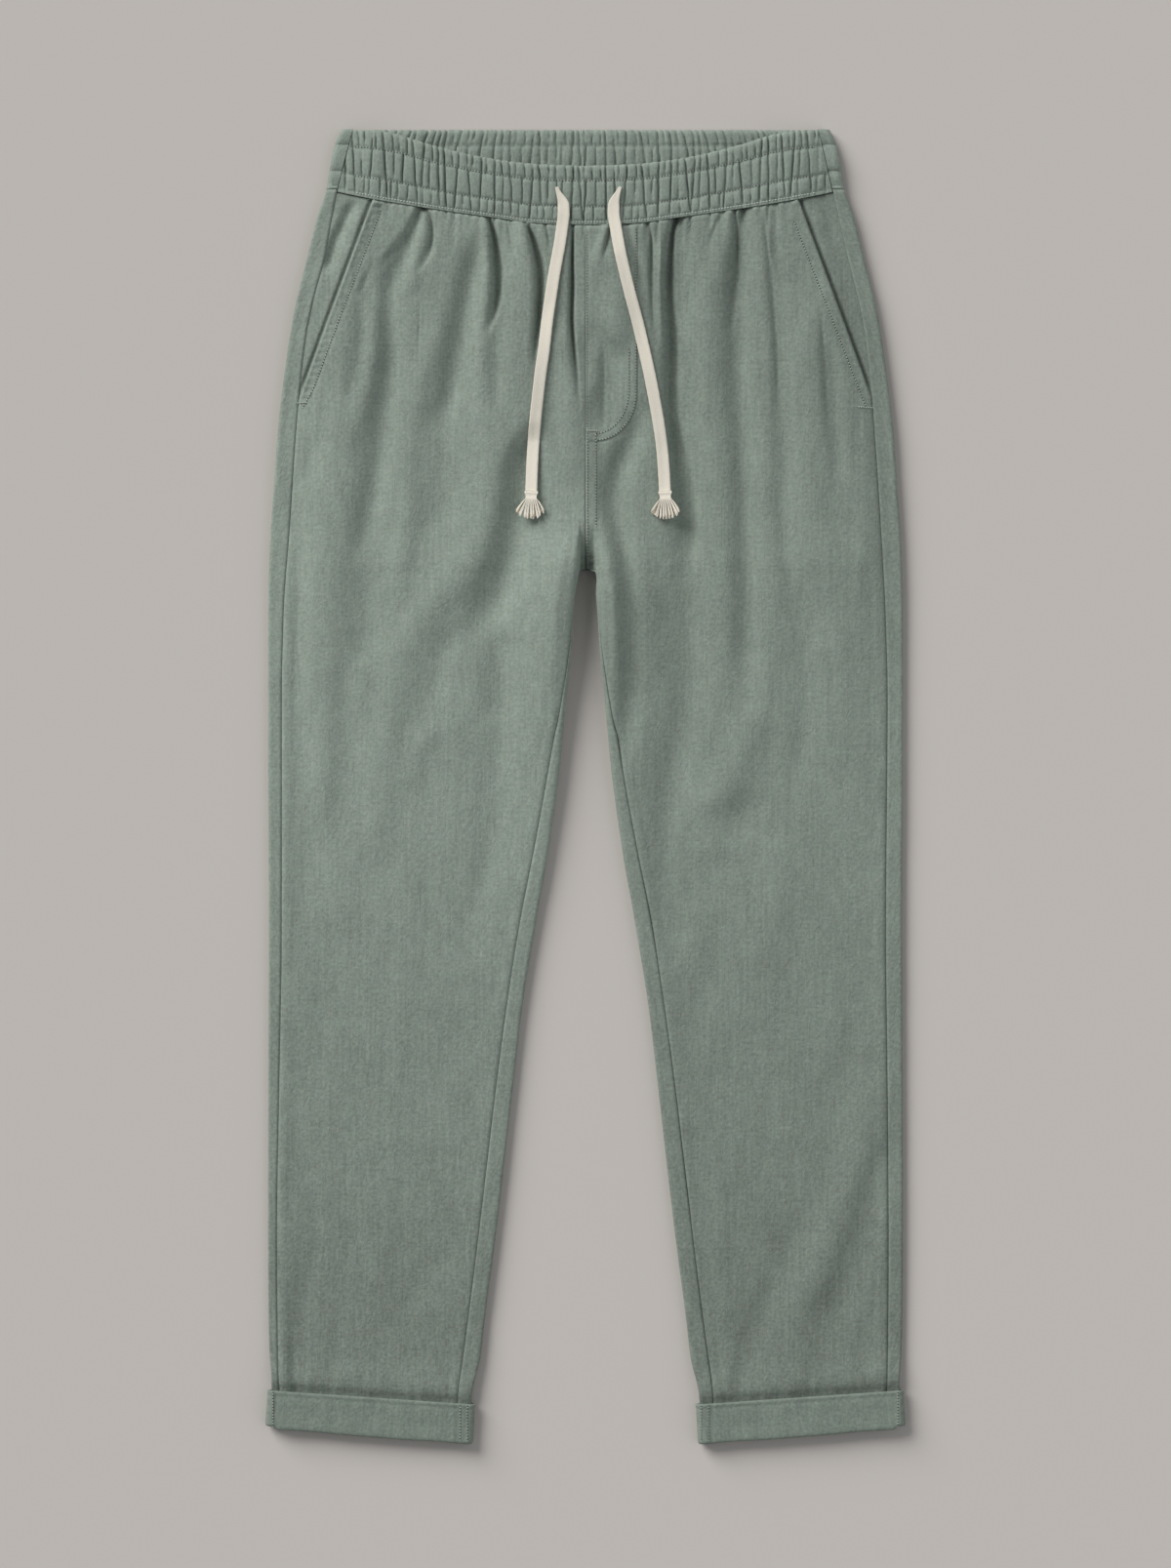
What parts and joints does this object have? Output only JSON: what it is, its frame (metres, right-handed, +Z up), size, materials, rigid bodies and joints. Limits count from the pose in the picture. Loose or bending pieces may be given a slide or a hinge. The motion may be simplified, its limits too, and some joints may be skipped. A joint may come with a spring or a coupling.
{
  "type": "drawstring trousers",
  "caption": "Long cotton trousers laid flat, with a gathered elastic waistband, flat drawstring, slant pockets, mock fly and turned-up cuffs.",
  "frame": {"origin": "centre of the outline of the trousers, on the surface that they lie on", "axes": "+Z up out of the fronts, +Y from the hems to the waist, +X to the wearer's left"},
  "size_m": [0.4918, 1.0088, 0.019],
  "materials": {
    "sage_cotton": "matt woven sage green cotton",
    "sage_band": "matt sage green cotton, gathered on elastic",
    "sage_cuff": "matt sage green cotton, a shade darker",
    "ivory_cotton": "matt ivory herringbone cotton tape"
  },
  "bodies": {
    "root": {"front_right": "sage_cotton", "front_left": "sage_cotton", "back_right": "sage_cotton", "back_left": "sage_cotton", "pocket_facing_right": "sage_cotton", "pocket_facing_left": "sage_cotton", "fly": "sage_cotton", "waistband_front": "sage_band", "waistband_back": "sage_band", "cuff_right": "sage_cuff", "cuff_left": "sage_cuff", "drawstring_right": "ivory_cotton", "drawstring_left": "ivory_cotton", "tassel_right": "ivory_cotton", "tassel_left": "ivory_cotton"}
  },
  "joints": []
}
